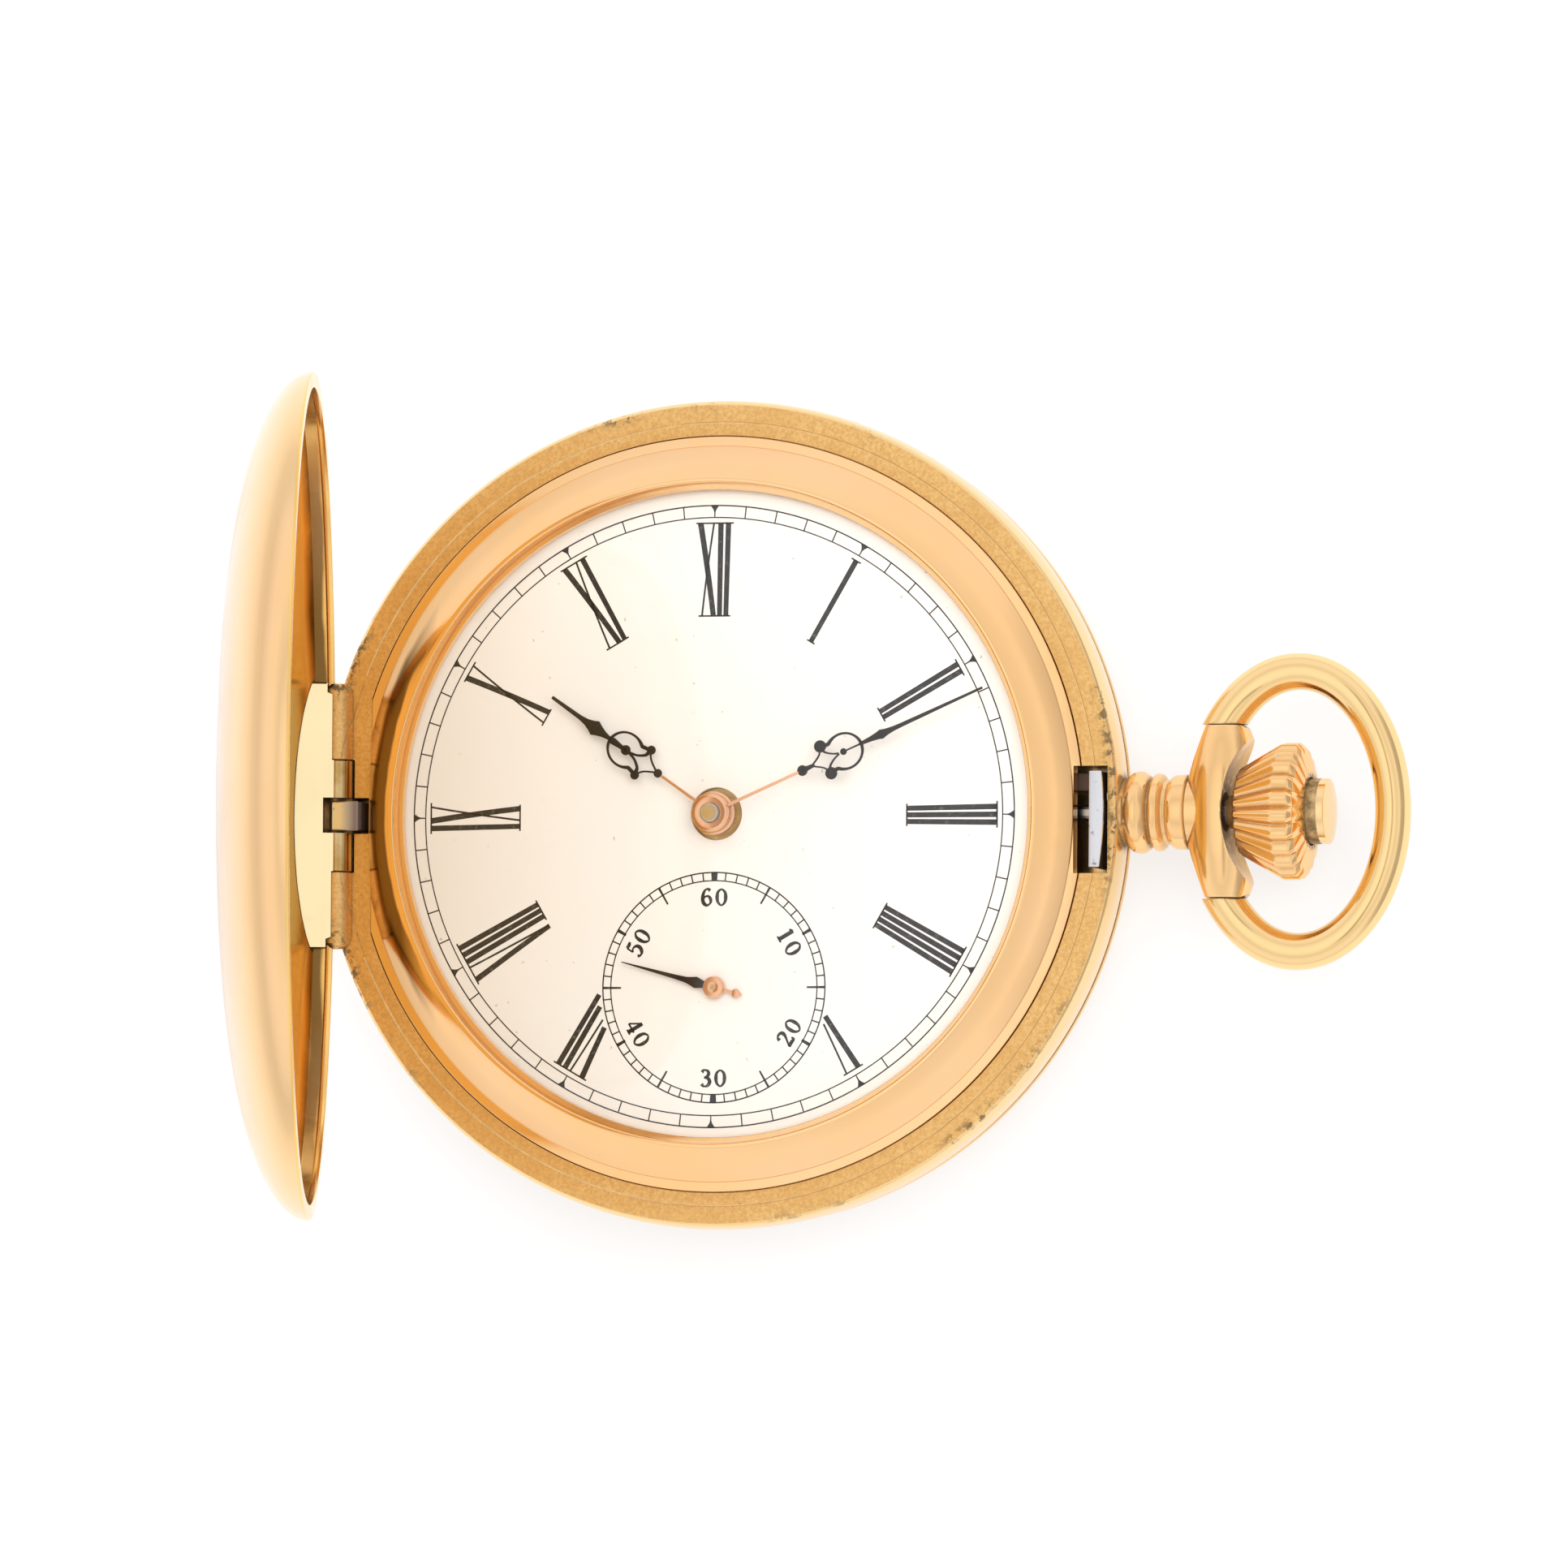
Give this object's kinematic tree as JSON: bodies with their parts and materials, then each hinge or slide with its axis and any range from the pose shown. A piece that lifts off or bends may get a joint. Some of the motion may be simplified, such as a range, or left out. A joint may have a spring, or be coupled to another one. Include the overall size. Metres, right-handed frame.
{
  "type": "hunter-case pocket watch",
  "caption": "Key-less pocket watch with a sprung hinged front cover, push-button crown, bow, domed crystal, small seconds dial and a geared movement.",
  "frame": {"origin": "on the dial's axis, on the plane the closed back cover rests on", "axes": "+X from the dial's centre to the pendant, +Y to the 12, +Z out of the dial"},
  "size_m": [0.0697, 0.0508, 0.0561],
  "materials": {
    "polished_gold": "polished yellow-rose gold plate, fine scratches",
    "satin_gold": "matte gilt seat, worn, polished band",
    "rose_gold": "polished rose-gold plate",
    "crystal_glass": "clear polished",
    "dial_enamel": "off-white enamel with black printing",
    "nickel_plate": "nickel-plated, striped",
    "train_brass": "gilt brass",
    "steel": "polished steel",
    "hand_steel": "darkened steel"
  },
  "bodies": {
    "case": {"case_middle": "satin_gold", "bezel": "rose_gold", "crystal": "crystal_glass", "dial": "dial_enamel", "pendant_neck": "polished_gold", "bow_yoke": "polished_gold", "front_hinge_pin": "polished_gold", "back_hinge_pin": "polished_gold", "dust_hinge_pin": "polished_gold", "mainplate": "nickel_plate", "barrel_bridge": "nickel_plate", "train_bridge": "nickel_plate", "pallet_bridge": "nickel_plate", "balance_cock": "nickel_plate", "click_spring": "steel", "hairspring": "hand_steel", "crown_wheel_screw_1": "steel", "crown_wheel_screw_2": "steel", "barrel_bridge_screw_1": "steel", "barrel_bridge_screw_2": "steel", "train_bridge_screw_1": "steel", "train_bridge_screw_2": "steel", "balance_cock_screw": "steel"},
    "front_lid": {"front_cover": "polished_gold", "cover_joint": "polished_gold"},
    "lift_spring_body": {"lift_spring": "steel"},
    "lock_spring_body": {"lock_spring": "steel"},
    "back_lid": {"back_cover": "polished_gold"},
    "inner_lid": {"dust_cover": "polished_gold"},
    "bow_body": {"bow": "polished_gold"},
    "winding_arbor": {"winding_pinion": "steel"},
    "crown_and_stem": {"crown": "polished_gold", "winding_stem": "steel"},
    "button": {"push_button": "polished_gold"},
    "clutch": {"sliding_pinion": "steel"},
    "yoke_body": {"yoke_lever": "steel"},
    "setting_lever_body": {"setting_lever": "steel"},
    "crown_wheel_body": {"crown_wheel": "steel"},
    "ratchet_body": {"ratchet_wheel": "steel", "barrel_arbor": "steel", "ratchet_screw": "steel"},
    "click_body": {"click": "steel"},
    "barrel_body": {"barrel": "train_brass", "barrel_cover": "train_brass", "mainspring": "steel"},
    "centre_body": {"centre_wheel": "train_brass", "cannon_pinion": "steel", "minute_hand": "hand_steel"},
    "third_body": {"third_wheel": "train_brass"},
    "seconds_body": {"fourth_wheel": "train_brass", "seconds_hand": "hand_steel"},
    "escape_body": {"escape_wheel": "steel"},
    "pallet_body": {"pallet_fork": "steel"},
    "balance_body": {"balance_wheel": "train_brass", "roller_table": "steel"},
    "minute_wheel_body": {"minute_wheel": "train_brass"},
    "hour_body": {"hour_wheel": "train_brass", "hour_hand": "hand_steel"},
    "setting_wheel_body": {"setting_wheel": "steel"}
  },
  "joints": [
    {"name": "front_lid_hinge", "type": "hinge", "parent": "case", "child": "front_lid", "pos_m": [-0.0242, 0, 0.008], "axis": [0, -1, 0], "range_deg": [-76.15, 0], "stiffness_Nm_per_rad": 0.0015, "springref_deg": 20.05},
    {"name": "lift_spring_flex", "type": "hinge", "parent": "case", "child": "lift_spring_body", "pos_m": [-0.01675, -0.01173, 0.0059], "axis": [0, 0, 1], "range_deg": [-1, 0]},
    {"name": "lock_spring_flex", "type": "hinge", "parent": "case", "child": "lock_spring_body", "pos_m": [0.01567, 0.01315, 0.0059], "axis": [0, 0, 1], "range_deg": [-2.4, 0]},
    {"name": "back_lid_hinge", "type": "hinge", "parent": "case", "child": "back_lid", "pos_m": [-0.02475, 0, 0.00425], "axis": [0, 1, 0], "range_deg": [0, 88]},
    {"name": "inner_lid_hinge", "type": "hinge", "parent": "case", "child": "inner_lid", "pos_m": [-0.02315, 0, 0.0044], "axis": [0, 1, 0], "range_deg": [0, 80]},
    {"name": "bow_swing", "type": "hinge", "parent": "case", "child": "bow_body", "pos_m": [0.0314, 0, 0.0059], "axis": [0, 1, 0], "range_deg": [-80, 80]},
    {"name": "crown_turn", "type": "hinge", "parent": "case", "child": "winding_arbor", "pos_m": [0.016, 0, 0.0059], "axis": [1, 0, 0], "continuous": true},
    {"name": "crown_pull", "type": "slide", "parent": "winding_arbor", "child": "crown_and_stem", "axis": [1, 0, 0], "range_m": [0, 0.0008]},
    {"name": "button_push", "type": "slide", "parent": "crown_and_stem", "child": "button", "axis": [1, 0, 0], "range_m": [-0.0005, 0], "stiffness_N_per_m": 500, "springref_m": 0.0006},
    {"name": "clutch_slide", "type": "slide", "parent": "winding_arbor", "child": "clutch", "axis": [1, 0, 0], "range_m": [-0.00045, 0]},
    {"name": "yoke_slide", "type": "slide", "parent": "case", "child": "yoke_body", "axis": [1, 0, 0], "range_m": [-0.00045, 0]},
    {"name": "setting_lever_pivot", "type": "hinge", "parent": "case", "child": "setting_lever_body", "pos_m": [0.018, 0.0034, 0.0069], "axis": [0, 0, 1], "range_deg": [0, 14.5]},
    {"name": "crown_wheel_turn", "type": "hinge", "parent": "case", "child": "crown_wheel_body", "pos_m": [0.013, 0, 0.005], "axis": [0, 0, 1], "continuous": true},
    {"name": "ratchet_turn", "type": "hinge", "parent": "case", "child": "ratchet_body", "pos_m": [0.0043, 0.0075, 0.005], "axis": [0, 0, 1], "continuous": true},
    {"name": "click_pivot", "type": "hinge", "parent": "case", "child": "click_body", "pos_m": [0.0076, 0.0154, 0.0022], "axis": [0, 0, 1], "range_deg": [-10, 0], "stiffness_Nm_per_rad": 0.00001, "springref_deg": 5.73},
    {"name": "barrel_turn", "type": "hinge", "parent": "case", "child": "barrel_body", "pos_m": [0.0043, 0.0075, 0.005], "axis": [0, 0, 1], "continuous": true},
    {"name": "centre_turn", "type": "hinge", "parent": "case", "child": "centre_body", "pos_m": [0, 0, 0.005], "axis": [0, 0, 1], "continuous": true},
    {"name": "third_turn", "type": "hinge", "parent": "case", "child": "third_body", "pos_m": [0.00212, -0.00593, 0.005], "axis": [0, 0, 1], "continuous": true},
    {"name": "seconds_turn", "type": "hinge", "parent": "case", "child": "seconds_body", "pos_m": [0, -0.01057, 0.005], "axis": [0, 0, 1], "continuous": true},
    {"name": "escape_turn", "type": "hinge", "parent": "case", "child": "escape_body", "pos_m": [-0.00417, -0.01131, 0.005], "axis": [0, 0, 1], "continuous": true},
    {"name": "pallet_rock", "type": "hinge", "parent": "case", "child": "pallet_body", "pos_m": [-0.00677, -0.00981, 0.0046], "axis": [0, 0, 1], "range_deg": [-4, 4]},
    {"name": "balance_swing", "type": "hinge", "parent": "case", "child": "balance_body", "pos_m": [-0.00963, -0.00816, 0.0037], "axis": [0, 0, 1], "range_deg": [-270, 270], "stiffness_Nm_per_rad": 0.0000017},
    {"name": "minute_wheel_turn", "type": "hinge", "parent": "case", "child": "minute_wheel_body", "pos_m": [0.0048, 0, 0.005], "axis": [0, 0, 1], "continuous": true},
    {"name": "hour_turn", "type": "hinge", "parent": "case", "child": "hour_body", "pos_m": [0, 0, 0.005], "axis": [0, 0, 1], "continuous": true},
    {"name": "setting_wheel_turn", "type": "hinge", "parent": "case", "child": "setting_wheel_body", "pos_m": [0.0106, 0, 0.005], "axis": [0, 0, 1], "continuous": true}
  ],
  "couplings": [
    {"joint": "lift_spring_flex", "follows": "front_lid_hinge", "ratio": 0.0118},
    {"joint": "lock_spring_flex", "follows": "button_push", "rad_per_m": 76.8},
    {"joint": "inner_lid_hinge", "follows": "back_lid_hinge", "ratio": 0.9},
    {"joint": "clutch_slide", "follows": "crown_pull", "ratio": -0.5625},
    {"joint": "yoke_slide", "follows": "crown_pull", "ratio": -0.5625},
    {"joint": "setting_lever_pivot", "follows": "crown_pull", "rad_per_m": 310.67},
    {"joint": "crown_wheel_turn", "follows": "crown_turn", "ratio": 0.44444},
    {"joint": "ratchet_turn", "follows": "crown_turn", "ratio": -0.30556},
    {"joint": "third_turn", "follows": "seconds_turn", "ratio": -0.13333},
    {"joint": "centre_turn", "follows": "seconds_turn", "ratio": 0.016667},
    {"joint": "barrel_turn", "follows": "seconds_turn", "ratio": -0.0023148},
    {"joint": "minute_wheel_turn", "follows": "seconds_turn", "ratio": -0.0055556},
    {"joint": "hour_turn", "follows": "seconds_turn", "ratio": 0.0013889},
    {"joint": "setting_wheel_turn", "follows": "seconds_turn", "ratio": 0.0090909},
    {"joint": "escape_turn", "follows": "seconds_turn", "ratio": -10}
  ]
}
